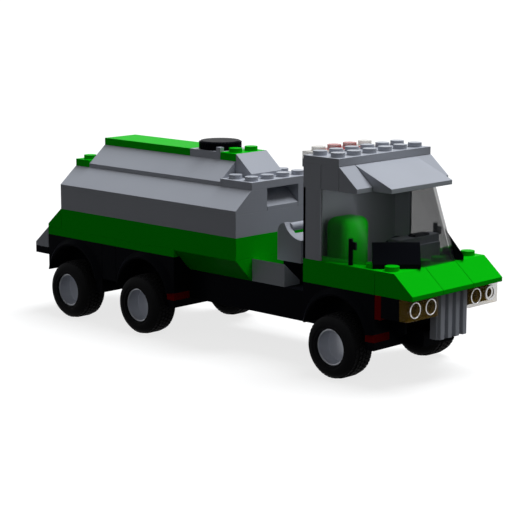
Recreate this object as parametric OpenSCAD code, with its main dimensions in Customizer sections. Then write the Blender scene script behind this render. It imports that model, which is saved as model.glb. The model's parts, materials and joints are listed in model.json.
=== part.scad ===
// Toy tanker truck built from studded bricks: six wheels, an open chassis beam,
// a stepped tank with sloping shoulders, and a hollow cab with a raked windscreen.
// Frame: X forward, Y to the left, Z up, millimetres. The origin is on the floor
// under the middle of the truck. Places are given in studs (X, Y) and in plates
// (Z, counted up from the underside of the axle carriers).

/* [Bricks] */
// Distance between two studs
pitch = 8; // [7:0.1:10]
// Height of one plate; a brick is three plates
plate_h = 2.7; // [2.2:0.05:3.4]
// Diameter of a stud
stud_d = 4.8; // [4:0.1:5]
// Height of a stud
stud_h = 1.5; // [1:0.1:2]
// Clearance at each side of a brick
gap = 0.1; // [0.05:0.05:0.3]
// Height of the upright lip under a slope
lip_h = 1.5; // [0.8:0.1:2.2]
// Wall of hollow bricks and panes
wall = 1; // [0.8:0.1:1.2]

/* [Truck] */
// Whole width in studs
wide = 6; // [6:2:6]
// Length of the tank body in studs
tank_len = 12; // [12:1:14]
// Height of the cab windows in plates
window_l = 9; // [7:1:11]

/* [Wheels] */
// Tyre diameter
tyre_d = 22; // [18:0.5:23]
// Tyre width
tyre_w = 11.6; // [9:0.2:11.8]
// Rim diameter, which is also the hole in the tyre
rim_d = 12.4; // [10:0.2:13.4]
// Wall of the rim's barrel
rim_wall = 0.5; // [0.4:0.1:0.8]
// Depth of the dish in the rim
dish_depth = 5; // [3:0.5:6]
// Overhang of the tyre beyond the side of the truck
tyre_out = 4.4; // [3:0.1:5]
// Diameter of the axle pins
pin_d = 4.8; // [3:0.1:5.4]
// Radial running clearance between pin and hub
pin_fit = 0.05; // [0.02:0.01:0.1]
// Distance from the axle centre up to the axle carriers
axle_drop = 0.7; // [0.5:0.1:2]

/* [Hidden] */
$fn = 48;

brick = 3;                              // plates in a brick
half_w = wide / 2;                      // studs from the middle to a side
tyre_r = tyre_d / 2;
under_z = tyre_r + axle_drop;           // underside of the axle carriers

// Stations along the truck, in studs from the middle
tank_front = 2;
tank_back = tank_front - tank_len;
cab_back = 6;
cab_front = 10;
nose = 12;
tail = tank_back - 2;
axle_front = 8;
axle_rear = tank_back + 1;
axle_mid = axle_rear + 5;
arch_half = 2;                          // half length of a mudguard
glass_back = cab_back + 1;
roof_front = cab_back + 2;

// Heights, in plates above the underside of the axle carriers
guard_l = 2;
deck_l = 5;
sill_l = 7;
belt_l = sill_l + brick;
base_l = sill_l + 1;
wall_l = base_l + brick;
shoulder_l = wall_l + brick;
top_l = shoulder_l + brick;
ridge_l = top_l + brick;
visor_l = belt_l + window_l;
roof_l = visor_l + brick;

// The hatch on the roof of the tank
hatch_back = tank_front - 5;
hatch_front = hatch_back + 2;
cap_d = 2 * pitch - 2 * gap;
cap_h = plate_h + 0.4;
knob = 2;                               // width of the knob at the hatch's corner
knob_h = 1.6;

// Pieces of the wheels and axles
axle_z = tyre_r;
tyre_face = half_w * pitch + tyre_out;
tyre_back = tyre_face - tyre_w;
rim_r = rim_d / 2;
rim_face = tyre_face - 1.3;
dish_y = rim_face - dish_depth;
disc_t = 1.5;
hub_back = tyre_back + 0.4;
pin_tip = dish_y - disc_t - 0.2;
boss_r = pin_d / 2 + 0.9;
boss_out = 0.3;                         // how far a boss stands out of its carrier
pin_root = 6;                           // how deep a pin is rooted in its carrier
carrier_y = 2 * pitch - gap;
ear_len = pitch / 2 - 2 * gap;

function zl(l) = under_z + l * plate_h;

// ---- helpers -------------------------------------------------------------

// A box between two stud stations, two stud offsets and two plate levels
module block(s0, s1, y0, y1, l0, l1)
    translate([s0 * pitch + gap, y0 * pitch + gap, zl(l0)])
        cube([(s1 - s0) * pitch - 2 * gap, (y1 - y0) * pitch - 2 * gap, (l1 - l0) * plate_h]);

// A flat shape in x and z, drawn out from y0 to y1
module upright(y0, y1)
    translate([0, y1, 0]) rotate([90, 0, 0]) linear_extrude(height = y1 - y0) children();

// An outline of [x, z] points, drawn out from y0 to y1
module along_y(outline, y0, y1) upright(y0, y1) polygon(outline);

// An outline of [y, z] points, drawn out from x0 to x1
module along_x(outline, x0, x1)
    translate([x0, 0, 0]) rotate([90, 0, 90]) linear_extrude(height = x1 - x0) polygon(outline);

module both_sides() {
    children();
    mirror([0, 1, 0]) children();
}

// Studs at the given [station, offset] places, standing on a level
module studs(places, l)
    for (p = places)
        translate([p[0] * pitch, p[1] * pitch, zl(l) - 0.01]) cylinder(d = stud_d, h = stud_h + 0.01);

// A slope brick that falls from station s_top to its lip at s_lip, between y0 and y1 studs;
// it is flat from s_back to s_top, and starts at a sharp crest where the two are the same
module slope_x(s_back, s_top, s_lip, y0, y1, l0, l1) {
    toward = s_lip > s_top ? 1 : -1;
    back = s_back * pitch + toward * gap;
    crest = s_top * pitch + toward * gap;
    front = s_lip * pitch - toward * gap;
    flat_end = s_back == s_top ? [] : [[back, zl(l1)]];
    along_y(concat([[back, zl(l0)], [front, zl(l0)], [front, zl(l0) + lip_h], [crest, zl(l1)]], flat_end),
        y0 * pitch + gap, y1 * pitch - gap);
}

// A slope brick along the truck that falls outwards from y_top to its lip at y_lip;
// it is flat from y_in to y_top
module slope_y(s0, s1, y_in, y_top, y_lip, l0, l1) {
    outer = y_lip * pitch - gap;
    inner = y_in * pitch + gap;
    along_x([[inner, zl(l0)], [outer, zl(l0)], [outer, zl(l0) + lip_h], [y_top * pitch, zl(l1)],
        [inner, zl(l1)]], s0 * pitch + gap, s1 * pitch - gap);
}

// ---- chassis -------------------------------------------------------------

// The beam between the wheels, with the riser under the hose rack
module chassis_beam() color("#161618") {
    along_y([[(tail + 1) * pitch + gap, zl(guard_l)], [(axle_mid + arch_half) * pitch + gap, zl(guard_l)],
        [(axle_mid + arch_half) * pitch + gap, zl(1)], [cab_back * pitch - gap, zl(1)],
        [cab_back * pitch - gap, zl(guard_l)], [cab_front * pitch - gap, zl(guard_l)],
        [cab_front * pitch - gap, zl(sill_l - 1)], [cab_back * pitch + gap, zl(sill_l - 1)],
        [cab_back * pitch + gap, zl(deck_l)], [(axle_mid + arch_half) * pitch, zl(deck_l)],
        [(axle_mid + arch_half) * pitch, zl(sill_l)], [(tail + 1) * pitch + gap, zl(sill_l)]],
        -carrier_y, carrier_y);
    translate([rack_x[0], gap - pitch, zl(deck_l) - 0.01])
        cube([rack_x[1] - rack_x[0], 2 * pitch - 2 * gap, brick * plate_h + 0.01]);
}

carrier_len = 2 * arch_half * pitch - 2 * gap;

// An axle carrier: a thick plate four studs long, with an ear past the wheels at its front end
module carrier(station, ear_plates) translate([station * pitch, 0, zl(0)]) {
    linear_extrude(height = 2 * plate_h) square([carrier_len, 2 * carrier_y], center = true);
    linear_extrude(height = ear_plates * plate_h) translate([(carrier_len - ear_len) / 2, 0])
        square([ear_len, wide * pitch - 2 * gap], center = true);
}

// The plates on the ears of the middle and front carriers
module carrier_plates() color("#a01010") for (station = [axle_mid, axle_front]) both_sides()
    translate([station * pitch + carrier_len / 2 - ear_len, -half_w * pitch + gap, zl(1)])
        cube([ear_len, half_w * pitch - carrier_y - 2 * gap, plate_h]);

module axle(station, ear_plates) color("#161618") {
    carrier(station, ear_plates);
    both_sides() {
        translate([station * pitch, carrier_y - pin_root, axle_z]) rotate([-90, 0, 0])
            cylinder(r = boss_r, h = pin_root + boss_out);
        translate([station * pitch, carrier_y - pin_root, axle_z]) rotate([-90, 0, 0])
            cylinder(d = pin_d, h = pin_tip - carrier_y + pin_root);
    }
}

module front_axle() axle(axle_front, 1);
module mid_axle() axle(axle_mid, 1);
module rear_axle() axle(axle_rear, 2);

// ---- mudguards -----------------------------------------------------------

arch_rise = (sill_l - guard_l) * plate_h;
arch_a = arch_half * pitch - gap;
arch_r = (arch_a * arch_a + arch_rise * arch_rise) / (2 * arch_rise);
arch_band = 2.4;
arch_flare = 1.8;

module arch_cut(r, h) cylinder(r = r, h = h, $fn = 96);

// One mudguard of the right side: a block with a round arch and a bevelled flare
module mudguard(station) {
    y_out = -half_w * pitch + gap;
    centre_z = zl(sill_l) - arch_r;
    difference() {
        union() {
            block(station - arch_half, station + arch_half, -half_w, -half_w + 1, guard_l, sill_l);
            intersection() {
                translate([station * pitch, y_out, centre_z]) rotate([90, 0, 0])
                    cylinder(r1 = arch_r, r2 = arch_r - arch_flare, h = arch_flare, $fn = 96);
                translate([(station - arch_half) * pitch, y_out - 2 * arch_flare, zl(guard_l)])
                    cube([2 * arch_half * pitch, 3 * arch_flare, arch_rise]);
            }
        }
        translate([station * pitch, y_out + pitch, centre_z]) rotate([90, 0, 0])
            arch_cut(arch_r - arch_band, pitch + 2 * arch_flare);
    }
}

module mudguard_pair(station) color("#161618") both_sides() mudguard(station);
module front_mudguards() mudguard_pair(axle_front);
module mid_mudguards() mudguard_pair(axle_mid);
module rear_mudguards() mudguard_pair(axle_rear);

module side_blocks() color("#161618") both_sides()
    block(axle_rear + arch_half, axle_mid - arch_half, -half_w, -half_w + 1, guard_l, sill_l);

module bumper_plate_rear() color("#161618") block(tail, tail + 1, -half_w, half_w, deck_l - 1, deck_l);

module bumper_slopes_rear() color("#8a8d95")
    for (y = [-half_w : 2 : half_w - 2])
        slope_x(tail + 1, tail + 1, tail, y, y + 2, deck_l, deck_l + brick);

// ---- tank ----------------------------------------------------------------

module tank_floor() color("#0a8a1c")
    block(tank_back - 1, axle_mid + arch_half, -half_w, half_w, sill_l, base_l);

module tank_base() color("#0a8a1c") block(tank_back, tank_front, -half_w, half_w, base_l, wall_l);

module tank_rear_slopes() color("#0a8a1c")
    for (y = [-half_w : 2 : half_w - 2])
        slope_x(tank_back, tank_back, tank_back - 1, y, y + 2, base_l, wall_l);

module tank_keel() color("#0a8a1c")
    along_x([[-half_w * pitch + gap, zl(base_l)], [(1 - half_w) * pitch, zl(deck_l)],
        [(half_w - 1) * pitch, zl(deck_l)], [half_w * pitch - gap, zl(base_l)]],
        (axle_mid + arch_half) * pitch + gap, tank_front * pitch - gap);

module tank_wall() color("#8a8d95") block(tank_back, tank_front, -half_w, half_w, wall_l, shoulder_l);

module tank_lower_slopes() color("#8a8d95") both_sides()
    slope_y(tank_back, tank_front, 1, half_w - 1, half_w, shoulder_l, top_l);

module tank_core() color("#8a8d95") block(tank_back, tank_front - 1, -1, 1, shoulder_l, top_l);

module tank_front_slope() color("#8a8d95")
    slope_x(tank_front - 1, tank_front - 1, tank_front, -1, 1, shoulder_l, top_l);

module tank_deck_front() color("#8a8d95") {
    block(tank_front - 2, tank_front, 1 - half_w, half_w - 1, top_l, top_l + 1);
    studs([for (y = [-1.5 : 1 : 1.5]) [tank_front - 0.5, y]], top_l + 1);
    studs([for (y = [-1.5, 1.5]) [tank_front - 1.5, y]], top_l + 1);
}

module tank_deck_rear() color("#0a8a1c") {
    block(tank_back, tank_back + 1, 1 - half_w, half_w - 1, top_l, top_l + 1);
    studs([for (y = [-1.5 : 1 : 1.5]) [tank_back + 0.5, y]], top_l + 1);
}

module tank_upper_slopes() color("#8a8d95") both_sides()
    slope_y(tank_back + 1, tank_front - 2, 0, half_w - 2, half_w - 1, top_l, ridge_l);

// The smooth roof plates behind the hatch, and the studded plate in front of it
module roof_plates() color("#0a8a1c") {
    block(tank_back + 1, hatch_back, -1, 1, ridge_l, ridge_l + 1);
    block(hatch_front, hatch_front + 1, -1, 1, ridge_l, ridge_l + 1);
    studs([for (y = [-0.5, 0.5]) [hatch_front + 0.5, y]], ridge_l + 1);
}

// Square base of the hatch, with a knob at its right front corner
module hatch_base() color("#8a8d95") {
    block(hatch_back, hatch_front, -1, 1, ridge_l, ridge_l + 1);
    translate([hatch_front * pitch - gap - knob, gap - pitch, zl(ridge_l + 1) - 0.01])
        cube([knob, knob, knob_h + 0.01]);
}

module hatch_cap() color("#161618")
    translate([(hatch_back + hatch_front) / 2 * pitch, 0, zl(ridge_l + 1)])
        cylinder(d = cap_d, h = cap_h);

module roof_slope() color("#8a8d95")
    slope_x(tank_front - 2, tank_front - 2, tank_front - 1, -1, 1, top_l + 1, ridge_l + 1);

// ---- between tank and cab --------------------------------------------------

// Step slopes beside the deck: the outer face is upright and the top falls inwards
module step_slopes() color("#8a8d95") both_sides()
    along_x([[-2 * pitch + gap, zl(deck_l)], [-pitch - gap, zl(deck_l)], [-pitch - gap, zl(deck_l) + lip_h],
        [-2 * pitch + gap, zl(deck_l + brick)]], tank_front * pitch + gap, (tank_front + 2) * pitch - gap);

rack_x = [3 * pitch - 0.2, 4.4 * pitch]; // back and front faces of the hose rack
rack_y = 1.375 * pitch;                            // outer faces of its cheeks
rack_top = base_l + 5;
rack_curve = 3.5;                       // radius at the top of a cheek's back edge
rack_dip = 8.9;                         // radius of the hollow front edge
rack_cheek = 2.6;
rack_bar_d = 3;

// Side view of the hose rack: upright behind, hollow in front
module rack_side() difference() {
    union() {
        translate([rack_x[0], zl(base_l)])
            square([rack_x[1] - rack_x[0], zl(rack_top) - zl(base_l) - rack_curve]);
        translate([rack_x[0] + rack_curve, zl(rack_top) - rack_curve - 0.01])
            square([rack_x[1] - rack_x[0] - rack_curve, rack_curve + 0.01]);
        translate([rack_x[0] + rack_curve, zl(rack_top) - rack_curve]) circle(r = rack_curve, $fn = 64);
    }
    translate([rack_x[1] + 0.1, zl(base_l + brick) + rack_dip]) circle(r = rack_dip, $fn = 96);
}

// Two cheeks with a hollow step and a round bar between them
module hose_rack() color("#8a8d95") {
    both_sides() upright(-rack_y, rack_cheek - rack_y) rack_side();
    upright(rack_cheek - rack_y - 0.01, rack_y - rack_cheek + 0.01) intersection() {
        rack_side();
        translate([(rack_x[0] + rack_x[1]) / 2, 0]) square([rack_x[1], zl(base_l + brick + 0.6)]);
    }
    upright(rack_cheek - rack_y - 0.01, rack_y - rack_cheek + 0.01)
        translate([rack_x[0], zl(base_l)]) square([(rack_x[1] - rack_x[0]) / 2 + 0.01, plate_h]);
    translate([rack_x[0] + rack_curve, rack_y - rack_cheek + 0.01, zl(rack_top) - rack_bar_d / 2 - 0.3])
        rotate([90, 0, 0]) cylinder(d = rack_bar_d, h = 2 * (rack_y - rack_cheek) + 0.02);
}

// ---- cab -----------------------------------------------------------------

module cab_floor() color("#161618") block(cab_back, cab_front, -2, 2, sill_l - 1, sill_l);

module cab_sides() color("#0a8a1c") {
    both_sides() block(cab_back, cab_front, -half_w, 1 - half_w, sill_l, belt_l);
    studs([for (y = [0.5 - half_w, half_w - 0.5]) [cab_front - 0.5, y]], belt_l);
}

module hood() color("#0a8a1c") {
    for (y = [-half_w : 2 : half_w - 2])
        slope_x(cab_front, nose - 1, nose, y, y + 2, sill_l, belt_l);
    studs([for (y = [0.5 - half_w : 1 : half_w - 0.5]) if (abs(y) != 1.5) [cab_front + 0.5, y]], belt_l);
}

face_x = nose * pitch - 1.8;            // front face of the lamps and the grille
face_t = 3.8;                           // their thickness
lamp_l = deck_l - 0.7;                  // underside of the lamps and of the block behind them
grille_l = 1.2;
bracket_s = 0.35;                       // thickness of the front bracket, in studs
fin_s = 0.8;                            // length of the fins under the lamps, in studs

module front_bracket() color("#a01010")
    block(cab_front, cab_front + bracket_s, -half_w, half_w, deck_l - 1, sill_l);

module headlamps() color("#c9a050") both_sides()
    translate([face_x - face_t, -half_w * pitch + gap, zl(lamp_l)])
        cube([face_t, 2 * pitch - 2 * gap, (sill_l - lamp_l) * plate_h]);

module grille() color("#8a8d95")
    translate([face_x - face_t, -pitch + gap, zl(grille_l)])
        cube([face_t, 2 * pitch - 2 * gap, (sill_l - grille_l) * plate_h]);

// Block behind the lamps with a fin under each end of it, and a low block behind the grille
module bumper_front() color("#161618") {
    back_x = (cab_front + bracket_s) * pitch + gap;
    start_x = cab_front * pitch + gap;
    end_x = (cab_front + fin_s) * pitch;
    translate([back_x, -half_w * pitch + gap, zl(lamp_l)])
        cube([face_x - face_t - gap - back_x, wide * pitch - 2 * gap, (sill_l - lamp_l) * plate_h]);
    both_sides() {
        translate([start_x, -carrier_y, zl(guard_l)])
            cube([end_x - start_x, wall, (deck_l - 1 - guard_l) * plate_h]);
        translate([back_x, -carrier_y, zl(guard_l)])
            cube([end_x - back_x, wall, (lamp_l - guard_l) * plate_h + 0.01]);
    }
    translate([cab_front * pitch - gap, gap - pitch, zl(0)])
        cube([pitch, 2 * pitch - 2 * gap, guard_l * plate_h]);
}

module dashboard() color("#8a8d95") {
    block(cab_front - 1, cab_front, -1.25, 1.25, sill_l, belt_l + 2);
    translate([cab_front * pitch - 6, -1.3 * pitch, zl(belt_l + 2)]) cube([5, 2.6 * pitch, plate_h]);
}

wheel_at = [(cab_front - 1) * pitch - 5, 3]; // steering wheel: distance from the middle, height over the belt
wheel_tilt = 50;
ring_d = 9;
ring_t = 1.2;
column_d = 1.6;
column_len = 6;

module steering_wheel() color("#161618")
    translate([wheel_at[0], 0, zl(belt_l) + wheel_at[1]]) rotate([0, -wheel_tilt, 0]) {
        difference() {
            cylinder(d = ring_d, h = ring_t);
            translate([0, 0, -1]) cylinder(d = ring_d - 2 * ring_t, h = ring_t + 2);
        }
        cylinder(d = 2 * ring_t, h = ring_t);
        for (turn = [0, 120, 240])
            rotate([0, 0, turn]) translate([0, -ring_t / 2, 0]) cube([ring_d / 2 - ring_t / 2, ring_t, ring_t]);
        translate([0, 0, -column_len]) cylinder(d = column_d, h = column_len);
    }

module seat() color("#0a8a1c") {
    block(cab_back + 0.25, cab_back + 1.5, -2, -0.3, sill_l, sill_l + 8);
    block(cab_back + 1.475, cab_back + 2.25, -2, -0.3, sill_l, sill_l + 2);
}

module cab_pillars() color("#8a8d95") {
    both_sides() block(cab_back, glass_back, -half_w, 1 - half_w, belt_l, visor_l + brick);
    translate([cab_back * pitch + gap, (1 - half_w) * pitch + gap, zl(sill_l)])
        cube([wall, (wide - 2) * pitch - 2 * gap, (visor_l - sill_l) * plate_h]);
}

glass_half = [half_w * pitch - gap, 2 * pitch, pitch];   // half widths: back, corner, front
glass_foot = [glass_back * pitch + gap, cab_front * pitch, (cab_front + 1) * pitch];
glass_lean = [0, 11.5, 8.8];                             // how far each falls back at the top

// Outline of the glazing, shrunk by inset, at the foot (lean 0) or the top (lean 1)
function glass_plan(lean, inset, back) =
    let (x = glass_foot - lean * glass_lean, y = glass_half)
    concat([[x[0] - back, -y[0] + inset], [x[1] - inset * 0.7, -y[1] + inset], [x[2] - inset, -y[2] + inset * 0.4]],
        [[x[2] - inset, y[2] - inset * 0.4], [x[1] - inset * 0.7, y[1] - inset], [x[0] - back, y[0] - inset]]);

module glass_body(inset, back, over) hull() {
    translate([0, 0, zl(belt_l) - over]) linear_extrude(height = 0.01) polygon(glass_plan(0, inset, back));
    translate([0, 0, zl(visor_l) + over - 0.01]) linear_extrude(height = 0.01)
        polygon(glass_plan(1, inset, back));
}

module windscreen() color("#50545c80") difference() {
    glass_body(0, 0, 0);
    glass_body(wall, 1, 0.02);
}

rod_at = [(cab_front - 1.5) * pitch, half_w * pitch - 1.8]; // a marker rod on the cab side
rod_d = 1.6;
rod_h = 3.3 * plate_h;
flag = [2.4, 0.8, 2.6];

// Thin upright rods with a small flag, outside the glass
module marker_rods() color("#161618") both_sides() translate([rod_at[0], rod_at[1], zl(belt_l)]) {
    cylinder(d = rod_d, h = rod_h);
    translate([0, -flag[1] / 2, rod_h - flag[2] - 1]) cube(flag);
}

deflector_c = [cab_front * pitch + 3.4, -2 * pitch - 0.9]; // middle of the deflector's lower front edge
deflector_foot = 2.6;                   // thickness at the foot
deflector_run = 4.6;                    // how far the slope falls back

module deflectors() color("#161618") both_sides() difference() {
    translate([deflector_c[0], deflector_c[1], zl(belt_l)]) rotate([0, 0, -45])
        along_y([[-deflector_foot, 0], [0, 0], [0, lip_h], [-deflector_run, brick * plate_h],
            [-deflector_run - 0.1, brick * plate_h]], -pitch + gap, pitch - gap);
    translate([(cab_front - 0.5) * pitch, (0.5 - half_w) * pitch, zl(belt_l) - 1])
        cylinder(d = stud_d + 2 * gap, h = 1 + stud_h + gap);
}

module visor_course() color("#8a8d95")
    block(glass_back, roof_front, -half_w, half_w, visor_l, roof_l);

module visor() color("#8a8d95") {
    both_sides() slope_x(roof_front, roof_front, roof_front + 1, -half_w, 1 - half_w, visor_l, roof_l);
    slope_x(roof_front, roof_front, roof_front + 2, -2, 2, visor_l, roof_l);
}

module cab_roof() color("#8a8d95") {
    block(cab_back, roof_front, -half_w, half_w, roof_l, roof_l + 1);
    studs([for (s = [cab_back + 0.5, roof_front - 0.5], y = [0.5 - half_w : 1 : half_w - 0.5]) [s, y]],
        roof_l + 1);
}

module lamp_shelf() color("#8a8d95") block(cab_back - 1, cab_back, -2, 2, roof_l - 1, roof_l);

module roof_lamp(y) {
    block(cab_back - 1, cab_back, y, y + 1, roof_l, roof_l + 1);
    studs([[cab_back - 0.5, y + 0.5]], roof_l + 1);
}
module clear_lamps() color("#d8d2c8") for (y = [-2, 1]) roof_lamp(y);
module red_lamps() color("#b01818") for (y = [-1, 0]) roof_lamp(y);

// ---- wheels ----------------------------------------------------------------

// Axis of a wheel: side is -1 on the right and 1 on the left
module at_wheel(station, side)
    translate([station * pitch, 0, axle_z]) rotate([side > 0 ? -90 : 90, 0, 0]) children();

module rim(station, side) color("#9a9ca4") at_wheel(station, side)
    rotate_extrude($fn = 96) polygon([[pin_d / 2 + pin_fit, hub_back], [boss_r, hub_back],
        [boss_r, dish_y - disc_t], [rim_r - rim_wall, dish_y - disc_t], [rim_r - rim_wall, hub_back],
        [rim_r, hub_back], [rim_r, rim_face], [rim_r - rim_wall, rim_face], [rim_r - rim_wall, dish_y],
        [0, dish_y], [0, dish_y - disc_t + 0.4], [pin_d / 2 + pin_fit, dish_y - disc_t + 0.4]]);

tyre_round = min(2.2, (tyre_r - rim_r) / 2 - 0.1);

module tyre(station, side) color("#1a1a1c") at_wheel(station, side)
    rotate_extrude($fn = 96) {
        translate([rim_r + 0.02, tyre_back]) square([tyre_r - tyre_round - rim_r, tyre_w]);
        translate([rim_r + 1, tyre_back + tyre_round]) square([tyre_r - rim_r - 1, tyre_w - 2 * tyre_round]);
        for (y = [tyre_back + tyre_round, tyre_face - tyre_round])
            translate([tyre_r - tyre_round, y]) circle(r = tyre_round);
    }

module rim_front_right() rim(axle_front, -1);
module rim_front_left() rim(axle_front, 1);
module rim_mid_right() rim(axle_mid, -1);
module rim_mid_left() rim(axle_mid, 1);
module rim_rear_right() rim(axle_rear, -1);
module rim_rear_left() rim(axle_rear, 1);
module tyre_front_right() tyre(axle_front, -1);
module tyre_front_left() tyre(axle_front, 1);
module tyre_mid_right() tyre(axle_mid, -1);
module tyre_mid_left() tyre(axle_mid, 1);
module tyre_rear_right() tyre(axle_rear, -1);
module tyre_rear_left() tyre(axle_rear, 1);

chassis_beam();
carrier_plates();
front_axle();
mid_axle();
rear_axle();
front_mudguards();
mid_mudguards();
rear_mudguards();
side_blocks();
bumper_plate_rear();
bumper_slopes_rear();
tank_floor();
tank_base();
tank_rear_slopes();
tank_keel();
tank_wall();
tank_lower_slopes();
tank_core();
tank_front_slope();
tank_deck_front();
tank_deck_rear();
tank_upper_slopes();
roof_plates();
hatch_base();
hatch_cap();
roof_slope();
step_slopes();
hose_rack();
cab_floor();
cab_sides();
hood();
front_bracket();
headlamps();
grille();
bumper_front();
dashboard();
steering_wheel();
seat();
cab_pillars();
windscreen();
marker_rods();
deflectors();
visor_course();
visor();
cab_roof();
lamp_shelf();
clear_lamps();
red_lamps();
rim_front_right();
rim_front_left();
rim_mid_right();
rim_mid_left();
rim_rear_right();
rim_rear_left();
tyre_front_right();
tyre_front_left();
tyre_mid_right();
tyre_mid_left();
tyre_rear_right();
tyre_rear_left();
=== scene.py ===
"""Looks of a toy tanker truck made of studded bricks.

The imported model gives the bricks, wheels and glazing at their real size. This script gives each of
them its finish, and builds the pieces that need finer shapes: tyres with tread, ribbed grille,
headlamps with lens rings, knurled hatch cap, hollow cab shell, rounded seat, the ribs on the bumper's
fins and the tray on the dashboard.
Lengths are in metres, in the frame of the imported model, where X points forward and Z up.
"""

import json
import logging
import math
from collections.abc import Sequence
from dataclasses import dataclass, field
from enum import Enum

import bmesh
import bpy
from mathutils import Matrix, Vector


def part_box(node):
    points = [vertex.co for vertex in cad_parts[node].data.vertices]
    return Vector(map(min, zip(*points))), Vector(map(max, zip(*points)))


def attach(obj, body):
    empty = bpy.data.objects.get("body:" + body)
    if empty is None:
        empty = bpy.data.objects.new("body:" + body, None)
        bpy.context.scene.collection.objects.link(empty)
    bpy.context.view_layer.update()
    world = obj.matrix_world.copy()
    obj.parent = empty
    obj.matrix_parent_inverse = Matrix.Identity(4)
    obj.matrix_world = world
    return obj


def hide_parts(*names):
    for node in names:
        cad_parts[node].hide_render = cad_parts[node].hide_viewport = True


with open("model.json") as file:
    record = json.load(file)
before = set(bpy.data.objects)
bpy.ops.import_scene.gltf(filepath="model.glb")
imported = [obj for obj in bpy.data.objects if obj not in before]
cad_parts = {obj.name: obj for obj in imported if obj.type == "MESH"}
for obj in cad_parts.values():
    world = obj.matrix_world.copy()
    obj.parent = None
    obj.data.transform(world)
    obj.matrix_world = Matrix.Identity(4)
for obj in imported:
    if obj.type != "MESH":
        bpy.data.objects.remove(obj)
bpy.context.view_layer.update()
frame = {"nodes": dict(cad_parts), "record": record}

logging.basicConfig(level=logging.INFO, format="%(name)s: %(message)s")
LOG = logging.getLogger("tanker")

MM = 0.001
SHARP_ANGLE = math.radians(35)
FORWARD = Vector((1, 0, 0))
UP = Vector((0, 0, 1))
SIDES = (-1, 1)
WHITE = (1.0, 1.0, 1.0, 1.0)
Colour = tuple[float, float, float]
Rgba = tuple[float, float, float, float]
Point = tuple[float, float, float]
Flat = tuple[float, float]


# ---- node trees ------------------------------------------------------------------------------


class Wire:
    """The output of a node. Python arithmetic on wires adds Math nodes to their tree."""

    def __init__(self, board: "Board", socket: bpy.types.NodeSocket) -> None:
        """Keeps the tree that the output belongs to.

        Args:
            board: The tree that holds the node.
            socket: The node's output.
        """
        self.board = board
        self.socket = socket

    def _math(self, operation: str, first: "Wire | float", second: "Wire | float") -> "Wire":
        """Adds one Math node.

        Args:
            operation: The node's operation, such as MULTIPLY.
            first: Its first operand.
            second: Its second operand.

        Returns:
            The node's result.
        """
        return self.board.add("ShaderNodeMath", {"operation": operation}, {0: first, 1: second})

    def __add__(self, other: "Wire | float") -> "Wire":
        """Sum."""
        return self._math("ADD", self, other)

    __radd__ = __add__

    def __sub__(self, other: "Wire | float") -> "Wire":
        """Difference."""
        return self._math("SUBTRACT", self, other)

    def __rsub__(self, other: "Wire | float") -> "Wire":
        """Difference with the wire second, as in 1 - mask."""
        return self._math("SUBTRACT", other, self)

    def __mul__(self, other: "Wire | float") -> "Wire":
        """Product."""
        return self._math("MULTIPLY", self, other)

    def clamped(self) -> "Wire":
        """The wire kept from 0 to 1."""
        return self.board.add("ShaderNodeMath", {"operation": "ADD", "use_clamp": True}, {0: self, 1: 0.0})


class Board:
    """A node tree, to which any node is added by one method."""

    def __init__(self, tree: bpy.types.NodeTree) -> None:
        """Keeps the tree.

        Args:
            tree: A shader tree or a Geometry Nodes tree.
        """
        self.tree = tree

    def add(
        self,
        kind: str,
        settings: dict[str, object] | None = None,
        inputs: dict[str | int, object] | None = None,
        output: str | int = 0,
    ) -> Wire:
        """Adds a node, sets it up and connects it.

        Args:
            kind: The node's type.
            settings: The node's own settings, set first.
            inputs: Values or wires for its sockets, by name or number.
            output: The socket that is returned, by name or number.

        Returns:
            The wire of that output.
        """
        node = self.tree.nodes.new(kind)
        for key, value in (settings or {}).items():
            setattr(node, key, value)
        for key, value in (inputs or {}).items():
            socket = node.inputs[key]
            if isinstance(value, Wire):
                self.tree.links.new(value.socket, socket)
            else:
                socket.default_value = value
        return Wire(self, node.outputs[output] if len(node.outputs) else None)


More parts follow.
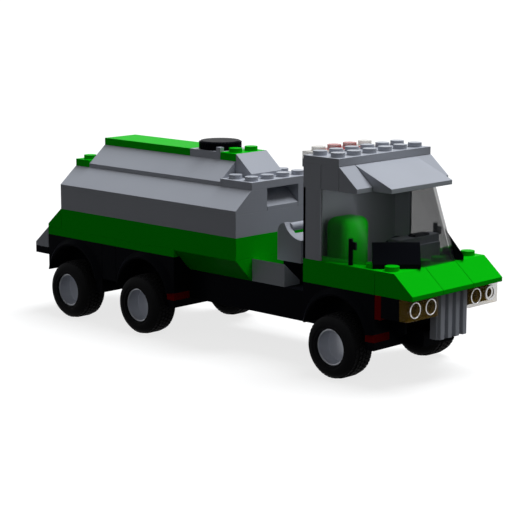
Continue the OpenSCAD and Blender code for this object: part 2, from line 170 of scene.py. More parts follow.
class Paint(Board):
    """The shader tree of one material, with the few patterns that the finishes share."""

    BEVEL_SAMPLES = 4
    EDGE_GAIN = 6.0
    MIX_COLOUR_A, MIX_COLOUR_B, MIX_COLOUR_OUT = 6, 7, 2

    def __init__(self, name: str) -> None:
        """Makes an empty material.

        Args:
            name: The material's name.
        """
        self.material = bpy.data.materials.new(name)
        self.material.use_nodes = True
        super().__init__(self.material.node_tree)
        self.tree.nodes.clear()
        self.place = self.add("ShaderNodeTexCoord", output="Object")

    def noise(self, grain: float, detail: float = 3.0, stretch: Point = (1.0, 1.0, 1.0)) -> Wire:
        """Noise fixed to the piece.

        Args:
            grain: The size of its spots in metres.
            detail: How many finer layers it has.
            stretch: The scale along each axis, to draw it out.

        Returns:
            A value from 0 to 1.
        """
        spot = self.add("ShaderNodeMapping", {"vector_type": "TEXTURE"},
                        {"Vector": self.place, "Scale": stretch})
        return self.add("ShaderNodeTexNoise", None,
                        {"Vector": spot, "Scale": 1.0 / grain, "Detail": detail})

    def blend(self, factor: Wire | float, first: Wire | Rgba, second: Wire | Rgba) -> Wire:
        """Mixes two colours.

        Args:
            factor: 0 gives the first colour and 1 the second.
            first: A colour or a wire.
            second: A colour or a wire.

        Returns:
            The mixed colour.
        """
        colours = {0: factor, self.MIX_COLOUR_A: first, self.MIX_COLOUR_B: second}
        return self.add("ShaderNodeMix", {"data_type": "RGBA"}, colours, output=self.MIX_COLOUR_OUT)

    def ramp(self, value: Wire, low: float, high: float) -> Wire:
        """A value drawn out between two limits.

        Args:
            value: The value.
            low: What becomes 0, as does all below it.
            high: What becomes 1, as does all above it.

        Returns:
            A value from 0 to 1.
        """
        return self.add("ShaderNodeMapRange", {"clamp": True},
                        {"Value": value, "From Min": low, "From Max": high})

    def rounded(self, radius: float) -> Wire:
        """The surface's normal, as if its edges were rounded off.

        Args:
            radius: The radius of the edges.

        Returns:
            The normal.
        """
        return self.add("ShaderNodeBevel", {"samples": self.BEVEL_SAMPLES}, {"Radius": radius})

    def edges(self, soft: Wire) -> Wire:
        """A mask of the edges.

        Args:
            soft: The rounded normal.

        Returns:
            0 on flat faces, rising to 1 at an edge.
        """
        flat = self.add("ShaderNodeNewGeometry", output="Normal")
        same = self.add("ShaderNodeVectorMath", {"operation": "DOT_PRODUCT"}, {0: soft, 1: flat},
                        output="Value")
        return ((1.0 - same) * self.EDGE_GAIN).clamped()

    def surface(self, **values: object) -> bpy.types.Material:
        """Ends the tree in a Principled shader.

        Args:
            **values: Values or wires for its sockets, with _ for each space in a name.

        Returns:
            The finished material.
        """
        inputs = {key.replace("_", " "): value for key, value in values.items()}
        shader = self.add("ShaderNodeBsdfPrincipled", None, inputs)
        self.add("ShaderNodeOutputMaterial", None, {"Surface": shader})
        return self.material


def scaled(colour: Colour, share: float) -> Rgba:
    """A colour made darker or lighter.

    Args:
        colour: The colour.
        share: What each channel is multiplied by.

    Returns:
        The colour with full alpha.
    """
    return (*(min(1.0, channel * share) for channel in colour), 1.0)


# ---- finishes --------------------------------------------------------------------------------


@dataclass(frozen=True)
class Plastic:
    """Smooth moulded brick plastic, with faint flow marks, fine scuffs and a painted highlight that makes
    the edges paler.
    """

    name: str
    colour: Colour
    roughness: float = 0.32
    gloss: float = 0.03
    metallic: float = 0.0
    # Share and tint of the painted highlight that makes the edges paler than the faces.
    edge_highlight: float = 0.25
    highlight_tint: float = 1.45
    edge_radius: float = 0.22 * MM
    flow_grain: float = 28 * MM
    flow_tints: Flat = (0.94, 1.06)
    scuff_grain: float = 1.3 * MM
    scuff_stretch: Point = (6.0, 1.0, 1.0)
    scuff_limits: Flat = (0.58, 0.72)
    pore_grain: float = 0.35 * MM
    relief: float = 0.06
    relief_depth: float = 0.05 * MM
    flow_shine: float = 0.1
    scuff_shine: float = 0.1
    edge_shine: float = 0.08

    def material(self) -> bpy.types.Material:
        """Builds the material."""
        paint = Paint(self.name)
        flow = paint.noise(self.flow_grain, 2.0)
        scuffs = paint.ramp(paint.noise(self.scuff_grain, 4.0, self.scuff_stretch), *self.scuff_limits)
        soft = paint.rounded(self.edge_radius)
        edge = paint.edges(soft)
        body = paint.blend(flow, *(scaled(self.colour, tint) for tint in self.flow_tints))
        # Painted highlight: the colour is painted paler along the edges.
        colour = paint.blend(edge * self.edge_highlight, body, scaled(self.colour, self.highlight_tint))
        pores = paint.noise(self.pore_grain, 2.0)
        relief = paint.add("ShaderNodeBump", None, {"Strength": self.relief, "Distance": self.relief_depth,
                                                    "Height": pores, "Normal": soft})
        rough = (self.roughness + (flow - 0.5) * self.flow_shine + scuffs * self.scuff_shine
                 + edge * self.edge_shine)
        return paint.surface(Base_Color=colour, Roughness=rough, Normal=relief,
                             Specular_IOR_Level=self.gloss, Metallic=self.metallic)


@dataclass(frozen=True)
class Rubber:
    """Matt black rubber with a patchy dusty bloom."""

    name: str
    colour: Colour
    roughness: float = 0.62
    gloss: float = 0.02
    bloom_grain: float = 6 * MM
    bloom_tints: Flat = (0.8, 1.35)
    bloom_shine: float = 0.15
    pore_grain: float = 0.25 * MM
    relief: float = 0.25
    relief_depth: float = 0.08 * MM

    def material(self) -> bpy.types.Material:
        """Builds the material."""
        paint = Paint(self.name)
        bloom = paint.noise(self.bloom_grain, 4.0)
        pores = paint.noise(self.pore_grain, 3.0)
        colour = paint.blend(bloom, *(scaled(self.colour, tint) for tint in self.bloom_tints))
        relief = paint.add("ShaderNodeBump", None,
                           {"Strength": self.relief, "Distance": self.relief_depth, "Height": pores})
        return paint.surface(Base_Color=colour, Roughness=self.roughness + (bloom - 0.5) * self.bloom_shine,
                             Normal=relief, Specular_IOR_Level=self.gloss)


@dataclass(frozen=True)
class Glazing:
    """Tinted clear plastic: see-through, denser where it is seen edge on, with hairline scratches."""

    name: str
    colour: Colour
    cover: float
    edge_cover: float
    roughness: float = 0.08
    gloss: float = 0.05
    haze_grain: float = 18 * MM
    haze_tints: Flat = (0.92, 1.08)
    haze_cover: float = 0.02
    scratch_grain: float = 0.8 * MM
    scratch_stretch: Point = (9.0, 1.0, 1.0)
    scratch_limits: Flat = (0.64, 0.7)
    scratch_shine: float = 0.08
    edge_blend: float = 0.3

    def material(self) -> bpy.types.Material:
        """Builds the material."""
        paint = Paint(self.name)
        haze = paint.noise(self.haze_grain, 3.0)
        lines = paint.noise(self.scratch_grain, 2.0, self.scratch_stretch)
        scratches = paint.ramp(lines, *self.scratch_limits)
        facing = paint.add("ShaderNodeLayerWeight", None, {"Blend": self.edge_blend}, output="Facing")
        cover = self.cover + facing * (self.edge_cover - self.cover) + haze * self.haze_cover
        colour = paint.blend(haze, *(scaled(self.colour, tint) for tint in self.haze_tints))
        return paint.surface(Base_Color=colour, Roughness=self.roughness + scratches * self.scratch_shine,
                             Alpha=cover.clamped(), Specular_IOR_Level=self.gloss)


@dataclass(frozen=True)
class Plating:
    """Bright reflector plating behind a lens."""

    name: str
    colour: Colour
    roughness: float = 0.2
    metallic: float = 0.6
    cloud_grain: float = 2 * MM
    cloud_tints: Flat = (0.85, 1.1)
    cloud_shine: float = 0.15

    def material(self) -> bpy.types.Material:
        """Builds the material."""
        paint = Paint(self.name)
        cloud = paint.noise(self.cloud_grain, 3.0)
        colour = paint.blend(cloud, *(scaled(self.colour, tint) for tint in self.cloud_tints))
        return paint.surface(Base_Color=colour, Roughness=self.roughness + cloud * self.cloud_shine,
                             Metallic=self.metallic)


class Slot(Enum):
    """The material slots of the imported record."""

    GRAY = "gray_plastic"
    GREEN = "green_plastic"
    BLACK = "black_plastic"
    RED = "red_plastic"
    RIM = "rim_plastic"
    TYRE = "tyre_rubber"
    SMOKED = "smoked_glazing"
    AMBER = "lamp_glazing"
    CLEAR = "clear_glazing"
    RUBY = "red_glazing"
    PLATING = "lamp_plating"


FINISHES: dict[Slot, Plastic | Rubber | Glazing | Plating] = {
    Slot.GRAY: Plastic("gray_plastic", (0.40, 0.42, 0.47), gloss=0.03),
    Slot.GREEN: Plastic("green_plastic", (0.0015, 0.47, 0.004), gloss=0.003),
    # Black plastic gets a stronger painted highlight on its edges.
    Slot.BLACK: Plastic("black_plastic", (0.005, 0.0055, 0.008), gloss=0.005, edge_highlight=0.5),
    # This red is darker than the plastic's own red: painted shade for the red plates, which sit in shadow.
    Slot.RED: Plastic("red_plastic", (0.2, 0.003, 0.004), gloss=0.004),
    Slot.RIM: Plastic("rim_plastic", (0.5, 0.52, 0.57), roughness=0.3, gloss=0.2, metallic=0.3),
    Slot.TYRE: Rubber("tyre_rubber", (0.012, 0.012, 0.013)),
    Slot.SMOKED: Glazing("smoked_glazing", (0.012, 0.013, 0.016), 0.38, 0.5),
    Slot.AMBER: Glazing("lamp_glazing", (0.5, 0.3, 0.03), 0.25, 0.5),
    Slot.CLEAR: Glazing("clear_glazing", (0.72, 0.68, 0.62), 0.45, 0.7),
    Slot.RUBY: Glazing("red_glazing", (0.5, 0.02, 0.02), 0.6, 0.85),
    Slot.PLATING: Plating("lamp_plating", (0.8, 0.8, 0.82)),
}


class Paintbox:
    """Makes each finish once and hands out its material."""

    def __init__(self) -> None:
        """Starts with no material made."""
        self.made: dict[Slot, bpy.types.Material] = {}

    def get(self, slot: Slot) -> bpy.types.Material:
        """The material of a slot, made at its first use."""
        if slot not in self.made:
            self.made[slot] = FINISHES[slot].material()
        return self.made[slot]


# ---- mesh tools ------------------------------------------------------------------------------


class Layout(Enum):
    """How a seed shape is repeated."""

    RING = "ring"
    ROW = "row"


REPEATS: dict[Layout, bpy.types.NodeTree] = {}


class Workshop:
    """Builds plain meshes and repeats them with Geometry Nodes."""

    MERGE_DISTANCE = 1e-7

    def __init__(self, paints: Paintbox) -> None:
        """Keeps the paints.

        Args:
            paints: The materials that pieces are made in.
        """
        self.paints = paints

    def piece(
        self, name: str, mesh: bmesh.types.BMesh, slot: Slot, smooth: bool = False
    ) -> bpy.types.Object:
        """Turns a bmesh into an object with one material.

        Args:
            name: The object's name.
            mesh: The shape, in its place. It is freed.
            slot: Its finish.
            smooth: True to shade round stretches smoothly.

        Returns:
            The new object at the origin.
        """
        bmesh.ops.recalc_face_normals(mesh, faces=mesh.faces)
        data = bpy.data.meshes.new(name)
        mesh.to_mesh(data)
        mesh.free()
        data.materials.append(self.paints.get(slot))
        if smooth:
            data.shade_smooth()
            data.set_sharp_from_angle(angle=SHARP_ANGLE)
        thing = bpy.data.objects.new(name, data)
        bpy.context.scene.collection.objects.link(thing)
        return thing

    @staticmethod
    def box(mesh: bmesh.types.BMesh, low: Point, high: Point) -> list[bmesh.types.BMVert]:
        """Adds a box between two corners.

        Args:
            mesh: The mesh that it goes into.
            low: Its lowest corner.
            high: Its highest corner.

        Returns:
            Its eight corners.
        """
        size = [b - a for a, b in zip(low, high)]
        middle = [(a + b) / 2 for a, b in zip(low, high)]
        matrix = Matrix.Translation(middle) @ Matrix.Diagonal((*size, 1.0))
        return bmesh.ops.create_cube(mesh, size=1.0, matrix=matrix)["verts"]

    @staticmethod
    def lathe(
        mesh: bmesh.types.BMesh,
        profile: Sequence[Flat],
        axis: Vector,
        centre: Point,
        segments: int,
    ) -> None:
        """Adds a closed ring or disc turned from a closed outline.

        Args:
            mesh: The mesh that it goes into.
            profile: The outline as (radius, distance along the axis), closed from last to first.
            axis: The direction of the axis.
            centre: The point that the distances start at.
            segments: How many steps the turn has.
        """
        side = axis.orthogonal().normalized()
        rings = []
        for step in range(segments):
            spoke = Matrix.Rotation(2 * math.pi * step / segments, 3, axis) @ side
            rings.append([mesh.verts.new(Vector(centre) + spoke * r + axis * t) for r, t in profile])
        for first, second in zip(rings, rings[1:] + rings[:1]):
            for k in range(len(profile)):
                after = (k + 1) % len(profile)
                mesh.faces.new((first[k], first[after], second[after], second[k]))
        bmesh.ops.remove_doubles(mesh, verts=mesh.verts, dist=Workshop.MERGE_DISTANCE)

    @staticmethod
    def prism(mesh: bmesh.types.BMesh, outline: Sequence[Point], depth: Vector) -> None:
        """Adds a prism.

        Args:
            mesh: The mesh that it goes into.
            outline: The corners of one end, in order.
            depth: The way from that end to the other.
        """
        near = [mesh.verts.new(corner) for corner in outline]
        far = [mesh.verts.new(Vector(corner) + depth) for corner in outline]
        mesh.faces.new(near)
        mesh.faces.new(far[::-1])
        for k in range(len(near)):
            after = (k + 1) % len(near)
            mesh.faces.new((near[after], near[k], far[k], far[after]))

    @staticmethod
    def soften(thing: bpy.types.Object, width: float, segments: int = 2) -> None:
        """Rounds the edges of a piece with a bevel.

        Args:
            thing: The piece.
            width: The width of the bevel.
            segments: How many steps it has.
        """
        bevel = thing.modifiers.new("soft_edges", "BEVEL")
        bevel.width = width
        bevel.segments = segments
        bevel.limit_method = "ANGLE"
        bevel.angle_limit = SHARP_ANGLE
        bevel.harden_normals = True
        thing.data.shade_smooth()
        thing.data.set_sharp_from_angle(angle=SHARP_ANGLE)

    @staticmethod
    def plain(thing: bpy.types.Object) -> bpy.types.Object:
        """Replaces a piece's mesh by the one that its modifiers give, and drops the modifiers.

        Args:
            thing: The piece.

        Returns:
            The same piece.
        """
        graph = bpy.context.evaluated_depsgraph_get()
        result = bpy.data.meshes.new_from_object(thing.evaluated_get(graph))
        thing.modifiers.clear()
        thing.data = result
        return thing

    def repeat(
        self,
        seed: bpy.types.Object,
        layout: Layout,
        count: int,
        step: Point,
        centre: Point = (0.0, 0.0, 0.0),
    ) -> bpy.types.Object:
        """Repeats a seed round a ring or along a row, and leaves a plain mesh.

        Args:
            seed: The shape. On a ring it stands at the origin's side, as the axis is at the origin.
            layout: Ring or row.
            count: How many copies there are.
            step: The turn (in radians about X, Y, Z) or the way from one copy to the next.
            centre: Where the ring's centre or the row's first copy comes.

        Returns:
            The same object, holding all the copies.
        """
        group = REPEATS.get(layout) or self._repeat_tree(layout)
        modifier = seed.modifiers.new("repeat", "NODES")
        modifier.node_group = group
        values = {"Count": count, "Step": step, "Centre": centre, "Finish": seed.data.materials[0]}
        for item in group.interface.items_tree:
            if item.item_type == "SOCKET" and item.in_out == "INPUT" and item.name in values:
                modifier[item.identifier] = values[item.name]
        return self.plain(seed)

    @staticmethod
    def _repeat_tree(layout: Layout) -> bpy.types.NodeTree:
        """Builds the Geometry Nodes tree of one layout.

        Args:
            layout: Ring or row.

        Returns:
            The tree, ending in Realize Instances and Set Material.
        """
        tree = bpy.data.node_groups.new(f"repeat_{layout.value}", "GeometryNodeTree")
        REPEATS[layout] = tree
        for name, kind in (("Geometry", "NodeSocketGeometry"), ("Count", "NodeSocketInt"),
                           ("Step", "NodeSocketVector"), ("Centre", "NodeSocketVector"),
                           ("Finish", "NodeSocketMaterial")):
            tree.interface.new_socket(name, in_out="INPUT", socket_type=kind)
        tree.interface.new_socket("Geometry", in_out="OUTPUT", socket_type="NodeSocketGeometry")
        board = Board(tree)
        given = tree.nodes.new("NodeGroupInput").outputs
        inputs = {name: Wire(board, given[name])
                  for name in ("Geometry", "Count", "Step", "Centre", "Finish")}
        index = board.add("GeometryNodeInputIndex")
        shift = board.add("ShaderNodeVectorMath", {"operation": "SCALE"},
                          {0: inputs["Step"], "Scale": index})
        points = board.add("GeometryNodeMeshLine", None,
                           {"Count": inputs["Count"], "Offset": (0.0, 0.0, 0.0)})
        place = {"Points": points, "Instance": inputs["Geometry"]}
        if layout is Layout.RING:
            place["Rotation"] = shift
        else:
            place["Points"] = board.add("GeometryNodeSetPosition", None,
                                        {"Geometry": points, "Offset": shift})
        copies = board.add("GeometryNodeInstanceOnPoints", None, place)
        moved = board.add("GeometryNodeTransform", None,
                          {"Geometry": copies, "Translation": inputs["Centre"]})
        solid = board.add("GeometryNodeRealizeInstances", None, {"Geometry": moved})
        done = board.add("GeometryNodeSetMaterial", None,
                         {"Geometry": solid, "Material": inputs["Finish"]})
        board.add("NodeGroupOutput", None, {"Geometry": done})
        return tree


def arc(centre: Flat, radius: float, start: float, end: float, steps: int) -> list[Flat]:
    """Points along an arc.

    Args:
        centre: The arc's centre.
        radius: Its radius.
        start: The angle that it starts at, in degrees.
        end: The angle that it ends at.
        steps: How many stretches it is cut into.

    Returns:
        The points, from start to end.
    """
    angles = (math.radians(start + (end - start) * k / steps) for k in range(steps + 1))
    return [(centre[0] + radius * math.cos(a), centre[1] + radius * math.sin(a)) for a in angles]


def join(name: str, things: Sequence[bpy.types.Object]) -> bpy.types.Object:
    """Joins pieces into the first of them.

    Args:
        name: The name of the joined piece.
        things: The pieces, which share their place and finish.

    Returns:
        The joined piece.
    """
    target = things[0]
    with bpy.context.temp_override(active_object=target, selected_editable_objects=list(things)):
        bpy.ops.object.join()
    target.name = name
    return target


# ---- the truck -------------------------------------------------------------------------------


@dataclass
class Brickwork:
    """The bricks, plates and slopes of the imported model, which keep their shape."""

    paints: Paintbox
    slots: dict[str, str] = field(default_factory=dict)

    def dress(self) -> None:
        """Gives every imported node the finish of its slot."""
        self.slots = {part["node"]: part["material_slot"] for part in frame["record"]["subparts"]}
        for name, thing in frame["nodes"].items():
            material = self.paints.get(Slot(self.slots[name]))
            if not thing.material_slots:
                thing.data.materials.append(material)
            for slot in thing.material_slots:
                slot.material = material
        LOG.info("dressed %d packed nodes", len(self.slots))


@dataclass
class Tyre:
    """A rubber tyre: round shoulders, a stepped side wall and rows of small tread blocks."""

    workshop: Workshop
    wheel: str
    shoulder: float = 2.6 * MM
    tread: float = 0.45 * MM
    columns: int = 44
    rows: int = 5
    segments: int = 96
    shoulder_steps: int = 6
    ledge: float = 0.25 * MM
    side_band: float = 1.1 * MM
    side_slope: float = 0.2 * MM
    bead: float = 1.6 * MM
    block_root: float = 0.35 * MM
    edge_drop: float = 0.32 * MM
    block_share: float = 0.36
    row_share: float = 0.38
    shoulder_share: float = 0.62

    def build(self) -> bpy.types.Object:
        """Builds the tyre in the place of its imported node.

        Returns:
            The finished piece.
        """
        node = f"tyre_{self.wheel}"
        low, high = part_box(node)
        rim_low, rim_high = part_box(f"rim_{self.wheel}")
        centre = (low + high) / 2
        outer = (high.z - low.z) / 2
        half = (high.y - low.y) / 2
        hole = (rim_high.z - rim_low.z) / 2
        out = 1.0 if centre.y > 0 else -1.0
        body = bmesh.new()
        self.workshop.lathe(body, self.outline(outer - self.tread, half, hole), Vector((0, out, 0)),
                            tuple(centre), self.segments)
        carcass = self.workshop.piece(f"carcass_{self.wheel}", body, Slot.TYRE, smooth=True)
        blocks = self.blocks(outer, half, tuple(centre))
        tyre = join(f"tread_tyre_{self.wheel}", [carcass, blocks])
        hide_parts(node)
        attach(tyre, f"wheel_{self.wheel}")
        return tyre

    def outline(self, outer: float, half: float, hole: float) -> list[Flat]:
        """The cross-section of the carcass.

        Args:
            outer: The radius under the tread.
            half: Half the tyre's width.
            hole: The radius of the hole.

        Returns:
            Closed outline as (radius, distance to the outside).
        """
        near = self.shoulder
        step = half - self.ledge
        wall = hole + self.side_band
        outside = arc((outer - near, half - near), near, 90, 0, self.shoulder_steps)
        inside = arc((outer - near, near - half), near, 0, -90, self.shoulder_steps)
        face = [(hole, half - self.bead), (hole + self.ledge, step), (wall, step),
                (wall + self.side_slope, half)]
        back = [(r, -t) for r, t in face[::-1]]
        return face + outside + inside + back

    def blocks(self, outer: float, half: float, centre: Point) -> bpy.types.Object:
        """The tread blocks, one staggered pair of columns repeated round the tyre.

        Args:
            outer: The radius of the tread.
            half: Half the tyre's width.
            centre: The wheel's centre.

        Returns:
            All the blocks as one piece.
        """
        seed = bmesh.new()
        turn = 2 * math.pi / self.columns
        pitch = 2 * (half - self.shoulder_share * self.shoulder) / self.rows
        wide = turn * outer * self.block_share
        reach = self.row_share * pitch
        root = outer - self.tread - self.block_root
        for row in range(self.rows):
            y = (row - (self.rows - 1) / 2) * pitch
            drop = 0.0 if 0 < row < self.rows - 1 else self.edge_drop
            corners = self.workshop.box(seed, (-wide, y - reach, root), (wide, y + reach, outer - drop))
            spin = Matrix.Rotation(turn * 0.5 * (row % 2), 4, "Y")
            bmesh.ops.transform(seed, matrix=spin, verts=corners)
        piece = self.workshop.piece(f"blocks_{self.wheel}", seed, Slot.TYRE)
        return self.workshop.repeat(piece, Layout.RING, self.columns, (0.0, turn, 0.0), centre)


@dataclass
class HatchCap:
    """The black cap on the tank's hatch: a knurled ring with a chamfered flat top."""

    workshop: Workshop
    ribs: int = 40
    rib: float = 0.35 * MM
    rib_share: float = 0.27
    rib_taper: float = 0.6
    lean: float = 0.55 * MM
    foot: float = 0.1 * MM
    chamfer: float = 0.4 * MM
    segments: int = 80

    def build(self) -> None:
        """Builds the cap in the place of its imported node."""
        low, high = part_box("hatch_cap")
        centre = (low + high) / 2
        radius = (high.x - low.x) / 2
        ring = radius - self.rib
        height = high.z - low.z
        profile = [(0.0, 0.0), (ring, 0.0), (ring, height - self.chamfer),
                   (ring - self.chamfer, height), (0.0, height)]
        body = bmesh.new()
        self.workshop.lathe(body, profile, UP, (centre.x, centre.y, low.z), self.segments)
        cap = self.workshop.piece("cap_body", body, Slot.BLACK, smooth=True)
        turn = 2 * math.pi / self.ribs
        wide = ring * turn * self.rib_share
        crest = wide * self.rib_taper
        seed = bmesh.new()
        outline = [(ring - self.rib, -wide - self.lean, self.foot), (radius, -crest - self.lean, self.foot),
                   (radius, crest - self.lean, self.foot), (ring - self.rib, wide - self.lean, self.foot)]
        self.workshop.prism(seed, outline, Vector((0, 2 * self.lean, height - self.chamfer - self.foot)))
        knurl = self.workshop.piece("cap_knurl", seed, Slot.BLACK)
        knurl = self.workshop.repeat(knurl, Layout.RING, self.ribs, (0.0, 0.0, turn),
                                     (centre.x, centre.y, low.z))
        whole = join("knurled_hatch_cap", [cap, knurl])
        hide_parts("hatch_cap")
        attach(whole, "root")
        LOG.info("hatch cap with %d ribs", self.ribs)


@dataclass
class Grille:
    """The upright ribbed grille in the middle of the front."""

    workshop: Workshop
    ribs: int = 4
    rib_width: float = 2.7 * MM
    rib_depth: float = 1.1 * MM
    rib_taper: float = 0.35 * MM
    rib_root: float = 0.1 * MM
    rounding: float = 0.12 * MM
    slit_width: float = 0.5 * MM
    slit_root: float = 0.2 * MM
    slit_proud: float = 0.08 * MM
    slit_spans: tuple[Flat, ...] = ((0.1, 0.42), (0.52, 0.9))

    def build(self) -> None:
        """Builds the ribs on their back plate, and the dark slits in two of the grooves."""
        low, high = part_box("grille")
        pitch = (high.y - low.y) / self.ribs
        front = high.x - self.rib_depth
        plate = bmesh.new()
        self.workshop.box(plate, tuple(low), (front, high.y, high.z))
        back = self.workshop.piece("grille_plate", plate, Slot.GRAY)
        seed = bmesh.new()
        y = low.y + pitch / 2
        foot = self.rib_width / 2
        crest = foot - self.rib_taper
        root = front - self.rib_root
        outline = [(root, y - foot, low.z), (high.x, y - crest, low.z),
                   (high.x, y + crest, low.z), (root, y + foot, low.z)]
        self.workshop.prism(seed, outline, Vector((0, 0, high.z - low.z)))
        rib = self.workshop.piece("grille_ribs", seed, Slot.GRAY)
        rib = self.workshop.repeat(rib, Layout.ROW, self.ribs, (0.0, pitch, 0.0))
        whole = join("ribbed_grille", [back, rib])
        self.workshop.soften(whole, self.rounding)
        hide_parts("grille")
        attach(whole, "root")
        slits = bmesh.new()
        tall = high.z - low.z
        for side in (low.y + pitch, high.y - pitch):
            for start, end in self.slit_spans:
                self.workshop.box(
                    slits, (front - self.slit_root, side - self.slit_width / 2, low.z + start * tall),
                    (front + self.slit_proud, side + self.slit_width / 2, low.z + end * tall))
        dark = self.workshop.piece("grille_slits", slits, Slot.BLACK)
        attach(dark, "root")
        LOG.info("grille with %d ribs", self.ribs)


@dataclass
class Headlamps:
    """The two wide lamp blocks: clear amber plastic with a pair of round lenses each."""

    workshop: Workshop
    lens_radius: float = 2.75 * MM
    bright_ring: float = 0.42 * MM
    thin_ring: float = 0.2 * MM
    inset: float = 0.15 * MM
    inner_y: float = 8.1 * MM
    lenses_y: Flat = (12 * MM, 20 * MM)
    rounding: float = 0.25 * MM
    ring_segments: int = 40
    bulb_segments: int = 32
    bulb_outline: tuple[Flat, ...] = ((0.0, -1.9 * MM), (1.5 * MM, -1.9 * MM), (1.5 * MM, -0.9 * MM),
                                      (0.9 * MM, -0.5 * MM), (0.0, -0.4 * MM))

    def build(self) -> None:
        """Builds the amber blocks, the bright lens rings and the dark bulb seats in them.

        The ring of the outer lens on the left is the thick one.
        """
        low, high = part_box("headlamps")
        glass = bmesh.new()
        rings = bmesh.new()
        bulbs = bmesh.new()
        middle = (low.z + high.z) / 2
        for side in SIDES:
            near, far = sorted((side * self.inner_y, side * high.y))
            self.workshop.box(glass, (low.x, near, low.z), (high.x - self.inset, far, high.z))
            for station in self.lenses_y:
                at = (high.x, side * station, middle)
                thick = side > 0 and station == max(self.lenses_y)
                ring = self.bright_ring if thick else self.thin_ring
                self.workshop.lathe(rings, self.ring_outline(ring), FORWARD, at, self.ring_segments)
                self.workshop.lathe(bulbs, self.bulb_outline, FORWARD, at, self.bulb_segments)
        for name, mesh, slot in (("lamp_blocks", glass, Slot.AMBER), ("lens_rings", rings, Slot.PLATING),
                                 ("lamp_bulbs", bulbs, Slot.BLACK)):
            piece = self.workshop.piece(name, mesh, slot, smooth=slot is not Slot.AMBER)
            if slot is Slot.AMBER:
                self.workshop.soften(piece, self.rounding)
                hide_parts("headlamps")
            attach(piece, "root")
        LOG.info("two headlamps with two lenses each")

    def ring_outline(self, ring: float) -> list[Flat]:
        """The round section of a lens ring.

        Args:
            ring: Half the width of the ring.

        Returns:
            Closed outline as (radius, distance forward).
        """
        return [(self.lens_radius - ring + r, t - ring) for r, t in arc((0, 0), ring, 0, 330, 11)]


@dataclass
class CabShell:
    """The hollow bricks of the cab's rear corners and its back wall."""

    workshop: Workshop
    wall: float = 1.0 * MM
    corner: float = 8.0 * MM
    belt_z: float = 38.7 * MM
    header: float = 8.1 * MM

    def build(self) -> None:
        """Builds the back wall, and on each side a thin corner below a full header brick."""
        low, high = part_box("cab_pillars")
        mesh = bmesh.new()
        header_z = high.z - self.header
        inner = high.y - self.corner
        back_x = low.x + self.wall
        self.workshop.box(mesh, (low.x, low.y + self.corner, low.z), (back_x, inner, header_z))
        for side in SIDES:
            for far_x, near_y in ((back_x, inner), (high.x, high.y - self.wall)):
                near, far = sorted((side * near_y, side * high.y))
                self.workshop.box(mesh, (low.x, near, self.belt_z), (far_x, far, header_z))
            near, far = sorted((side * inner, side * high.y))
            self.workshop.box(mesh, (low.x, near, header_z), (high.x, far, high.z))
        shell = self.workshop.piece("cab_shell", mesh, Slot.GRAY)
        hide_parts("cab_pillars")
        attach(shell, "root")
        LOG.info("cab shell")


@dataclass
class Seat:
    """The driver's seat: an upright back with round corners above a short squab."""

    workshop: Workshop
    round_corner: float = 3.2 * MM
    round_steps: int = 6
    squab_height: float = 5.4 * MM
    squab_overlap: float = 0.5 * MM
    back_depth: float = 0.64

    def build(self) -> None:
        """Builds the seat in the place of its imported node."""
        low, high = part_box("seat")
        back_front = low.x + (high.x - low.x) * self.back_depth
        mesh = bmesh.new()
        corners = self.workshop.box(mesh, tuple(low), (back_front, high.y, high.z))
        middle = (low.z + high.z) / 2
        top = [edge for edge in mesh.edges if all(v in corners and v.co.z > middle for v in edge.verts)]
        upright = [edge for edge in mesh.edges
                   if (edge.verts[0].co.z > middle) != (edge.verts[1].co.z > middle)]
        bmesh.ops.bevel(mesh, geom=top + upright, offset=self.round_corner, segments=self.round_steps,
                        profile=0.5, affect="EDGES", clamp_overlap=True)
        self.workshop.box(mesh, (back_front - self.squab_overlap, low.y, low.z),
                          (high.x, high.y, low.z + self.squab_height))
        seat = self.workshop.piece("rounded_seat", mesh, Slot.GREEN, smooth=True)
        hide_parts("seat")
        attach(seat, "root")
        LOG.info("seat")


@dataclass
class FinRibs:
    """The ribs along the outer faces of the two fins under the lamps."""

    workshop: Workshop
    count: int = 4
    rib: float = 0.35 * MM
    proud: float = 0.25 * MM
    root: float = 0.05 * MM
    start: float = 80.4 * MM
    end: float = 86.2 * MM
    outer_y: float = 15.9 * MM
    low_z: float = 17.5 * MM
    pitch: float = 1.3 * MM

    def build(self) -> None:
        """Builds a column of ribs on each fin."""
        columns = []
        for name, side in (("right", -1), ("left", 1)):
            seed = bmesh.new()
            near, far = sorted((side * (self.outer_y - self.root), side * (self.outer_y + self.proud)))
            self.workshop.box(seed, (self.start, near, self.low_z),
                              (self.end, far, self.low_z + self.rib))
            column = self.workshop.piece(f"fin_ribs_{name}", seed, Slot.BLACK)
            columns.append(self.workshop.repeat(column, Layout.ROW, self.count, (0.0, 0.0, self.pitch)))
        whole = join("bumper_fin_ribs", columns)
        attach(whole, "root")
        LOG.info("ribs on the bumper's fins")


@dataclass
class CabTrim:
    """The flat tray on top of the dashboard."""

    workshop: Workshop
    back: float = 4.2 * MM
    front: float = 1.0 * MM
    right_y: float = -2.0 * MM
    left_y: float = 5.5 * MM
    root: float = 0.2 * MM
    height: float = 0.8 * MM
    rounding: float = 0.2 * MM

    def build(self) -> None:
        """Builds the tray."""
        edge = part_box("dashboard")[1]
        tray = bmesh.new()
        self.workshop.box(tray, (edge.x - self.back, self.right_y, edge.z - self.root),
                          (edge.x - self.front, self.left_y, edge.z + self.height))
        thing = self.workshop.piece("dash_tray", tray, Slot.BLACK)
        self.workshop.soften(thing, self.rounding)
        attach(thing, "root")
        LOG.info("cab trim")


# ---- the studio ------------------------------------------------------------------------------


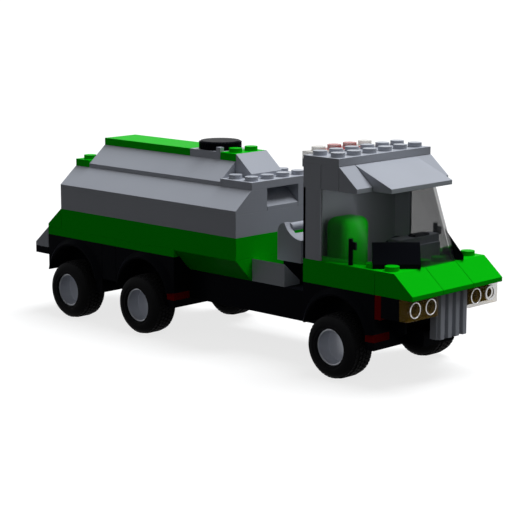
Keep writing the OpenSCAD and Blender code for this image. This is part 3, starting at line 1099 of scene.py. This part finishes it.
@dataclass
class Studio:
    """Camera, soft key lamp, small cab lamp, white world and pale floor."""

    camera_at: Point = (0.44567, -0.45253, 0.14781)
    yaw: float = 134.405
    pitch: float = -10.507
    lens: float = 123.72
    sensor: float = 36.0
    clip: Flat = (0.01, 50.0)
    floor_half: float = 12.0
    key_strength: float = 3.4
    key_spread: float = 40.0
    key_toward_front: float = 6.0
    key_toward_left: float = 21.0
    key_colour: Colour = (0.96, 0.98, 1.0)
    ambient: float = 0.19
    floor_bounce: float = 0.005
    floor_glow: float = 0.72
    floor_lift: float = 0.05
    cab_light: float = 0.003
    cab_lamp_at: Point = (0.069, -0.012, 0.053)
    cab_lamp_size: float = 0.02
    cab_lamp_tilt: float = 65.0

    def build(self) -> None:
        """Builds the whole studio."""
        self.camera()
        self.lamp()
        self.cab_lamp()
        self.world()
        self.floor()
        scene = bpy.context.scene
        scene.view_settings.view_transform = "Standard"

    def camera(self) -> None:
        """Places the camera."""
        data = bpy.data.cameras.new("camera")
        data.lens = self.lens
        data.sensor_width = self.sensor
        data.clip_start, data.clip_end = self.clip
        camera = bpy.data.objects.new("camera", data)
        yaw, pitch = math.radians(self.yaw), math.radians(self.pitch)
        level = math.cos(pitch)
        look = Vector((math.cos(yaw) * level, math.sin(yaw) * level, math.sin(pitch)))
        camera.location = self.camera_at
        camera.rotation_euler = look.to_track_quat("-Z", "Y").to_euler()
        bpy.context.scene.collection.objects.link(camera)
        bpy.context.scene.camera = camera

    def lamp(self) -> None:
        """Hangs the wide soft key lamp above, a little to the far side and in front."""
        data = bpy.data.lights.new("key", "SUN")
        data.energy = self.key_strength
        data.angle = math.radians(self.key_spread)
        data.color = self.key_colour
        key = bpy.data.objects.new("key", data)
        key.rotation_euler = (-math.radians(self.key_toward_left), math.radians(self.key_toward_front), 0.0)
        bpy.context.scene.collection.objects.link(key)

    def cab_lamp(self) -> None:
        """Hangs a small soft lamp under the cab's roof, as hardly any light comes through the glass."""
        data = bpy.data.lights.new("cab_fill", "AREA")
        data.energy = self.cab_light
        data.size = self.cab_lamp_size
        lamp = bpy.data.objects.new("cab_fill", data)
        lamp.location = self.cab_lamp_at
        lamp.rotation_euler = (0.0, math.radians(self.cab_lamp_tilt), 0.0)
        bpy.context.scene.collection.objects.link(lamp)

    def world(self) -> None:
        """Makes a white background that adds only a dim fill to the object."""
        world = bpy.data.worlds.new("studio")
        world.use_nodes = True
        board = Board(world.node_tree)
        world.node_tree.nodes.clear()
        seen = self.seen(board)
        strength = self.ambient + seen * (1.0 - self.ambient)
        light = board.add("ShaderNodeBackground", None, {"Color": WHITE, "Strength": strength})
        board.add("ShaderNodeOutputWorld", None, {"Surface": light})
        bpy.context.scene.world = world

    @staticmethod
    def seen(board: Board) -> Wire:
        """Tells what is seen from soft light.

        Args:
            board: The tree that asks.

        Returns:
            1 for what is seen straight, in a reflection or through glass, else 0.
        """
        camera = board.add("ShaderNodeLightPath", output="Is Camera Ray")
        glossy = board.add("ShaderNodeLightPath", output="Is Glossy Ray")
        through = board.add("ShaderNodeLightPath", output="Is Transmission Ray")
        return (camera + glossy + through).clamped()

    def floor(self) -> None:
        """Lays the pale floor, which keeps the object's shadow."""
        mesh = bmesh.new()
        half = self.floor_half
        corners = ((-half, -half), (half, -half), (half, half), (-half, half))
        mesh.faces.new([mesh.verts.new((x, y, 0.0)) for x, y in corners])
        data = bpy.data.meshes.new("floor")
        mesh.to_mesh(data)
        mesh.free()
        material = bpy.data.materials.new("floor")
        material.use_nodes = True
        board = Board(material.node_tree)
        material.node_tree.nodes.clear()
        seen = self.seen(board)
        share = 1.0 - self.floor_glow
        matte = board.add("ShaderNodeBsdfDiffuse", None, {"Color": (share, share, share, 1.0)})
        glow = board.add("ShaderNodeEmission", None,
                         {"Color": WHITE, "Strength": self.floor_glow + self.floor_lift})
        shown = board.add("ShaderNodeAddShader", None, {0: matte, 1: glow})
        dull = board.add("ShaderNodeBsdfDiffuse", None, {"Color": (*(self.floor_bounce,) * 3, 1.0)})
        mixed = board.add("ShaderNodeMixShader", None, {0: seen, 1: dull, 2: shown})
        board.add("ShaderNodeOutputMaterial", None, {"Surface": mixed})
        data.materials.append(material)
        floor = bpy.data.objects.new("floor", data)
        bpy.context.scene.collection.objects.link(floor)


WHEELS = tuple(f"{row}_{side}" for row in ("front", "mid", "rear") for side in ("right", "left"))


def main() -> None:
    """Builds the studio and the truck's pieces in order."""
    Studio().build()
    paints = Paintbox()
    workshop = Workshop(paints)
    Brickwork(paints).dress()
    for wheel in WHEELS:
        tyre = Tyre(workshop, wheel).build()
        LOG.info("%s: %d faces", tyre.name, len(tyre.data.polygons))
    for part in (HatchCap, Grille, Headlamps, CabShell, Seat, FinRibs, CabTrim):
        part(workshop).build()


if __name__ == "__main__":
    main()
